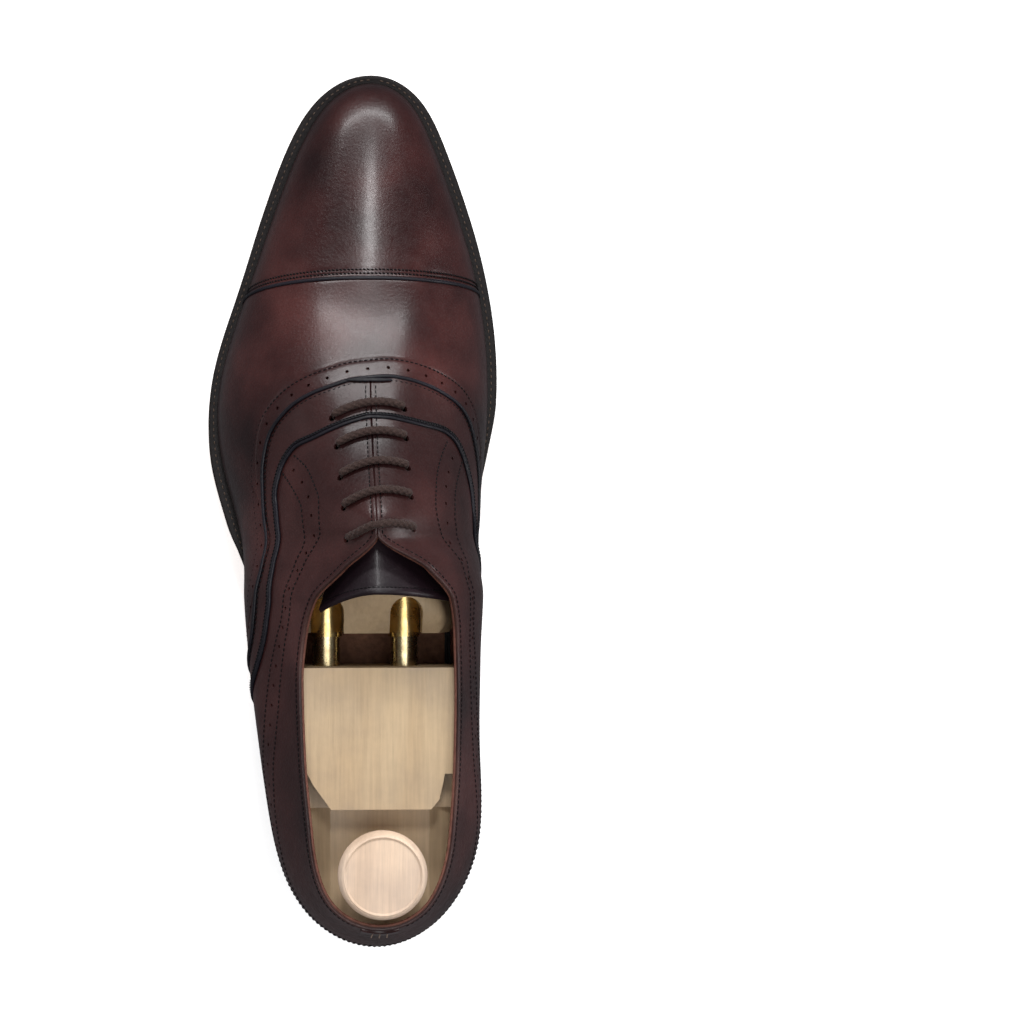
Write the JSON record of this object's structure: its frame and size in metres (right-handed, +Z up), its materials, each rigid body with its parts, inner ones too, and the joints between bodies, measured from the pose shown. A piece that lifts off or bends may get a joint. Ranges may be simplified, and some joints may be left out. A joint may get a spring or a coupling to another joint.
{
  "type": "leather oxford shoe",
  "caption": "Left cap-toe oxford shoe in polished leather, closed lacing over a tongue, leather sole with stacked heel, fitted with a twin-tube sprung wooden shoe tree.",
  "frame": {"origin": "centre of the shoe's footprint box, on the surface it stands on", "axes": "+Y from heel to toe, +X from the lateral to the medial side, +Z up"},
  "size_m": [0.1013, 0.3008, 0.0995],
  "materials": {
    "upper_leather": "polished burgundy calf",
    "bead_leather": "dark navy folded edge",
    "lining_leather": "matt brown lining",
    "tongue_leather": "satin dark plum",
    "sole_leather": "natural veg-tanned",
    "welt_leather": "black edge dressing",
    "cork": "granulated",
    "shank_steel": "drawn",
    "heel_rubber": "matt",
    "nail_brass": "plain",
    "lace_cord": "waxed round braid",
    "tree_wood": "fine sanded, unvarnished",
    "knob_wood": "turned, satin",
    "tube_brass": "polished"
  },
  "bodies": {
    "shoe": {"outsole": "sole_leather", "welt": "welt_leather", "cork_filler": "cork", "shank_cover": "sole_leather", "shank": "shank_steel", "insole": "sole_leather", "sock_lining": "lining_leather", "heel_lift_1": "sole_leather", "heel_lift_2": "sole_leather", "heel_lift_3": "sole_leather", "heel_top_piece": "heel_rubber", "heel_nails": "nail_brass", "toe_cap": "upper_leather", "toe_puff": "sole_leather", "vamp": "upper_leather", "vamp_lining": "lining_leather", "lateral_panel": "upper_leather", "medial_panel": "upper_leather", "lateral_quarter": "upper_leather", "medial_quarter": "upper_leather", "lateral_quarter_lining": "lining_leather", "medial_quarter_lining": "lining_leather", "heel_counter": "sole_leather", "back_tab": "upper_leather", "topline_binding": "bead_leather", "cap_bead": "bead_leather", "vamp_bead": "bead_leather", "quarter_bead": "bead_leather", "lace": "lace_cord", "tree_forepart": "tree_wood", "tree_outer_tube_lateral": "tube_brass", "tree_outer_tube_medial": "tube_brass"},
    "tree_rear": {"tree_heel_block": "tree_wood", "tree_knob": "knob_wood", "tree_knob_screw": "shank_steel", "tree_inner_tube_lateral": "tube_brass", "tree_inner_tube_medial": "tube_brass", "tree_spring_lateral": "shank_steel", "tree_spring_medial": "shank_steel"},
    "tongue": {"tongue": "tongue_leather"}
  },
  "joints": [
    {"name": "tree_squeeze", "type": "slide", "parent": "shoe", "child": "tree_rear", "axis": [0, 1, 0], "range_m": [0, 0.006], "stiffness_N_per_m": 1200, "springref_m": -0.012, "deforming": ["tree_spring_lateral", "tree_spring_medial"]},
    {"name": "tongue_flex", "type": "hinge", "parent": "shoe", "child": "tongue", "pos_m": [0.0044, 0.043, 0.0565], "axis": [1, 0, 0], "range_deg": [0, 1.6], "stiffness_Nm_per_rad": 0.6}
  ]
}
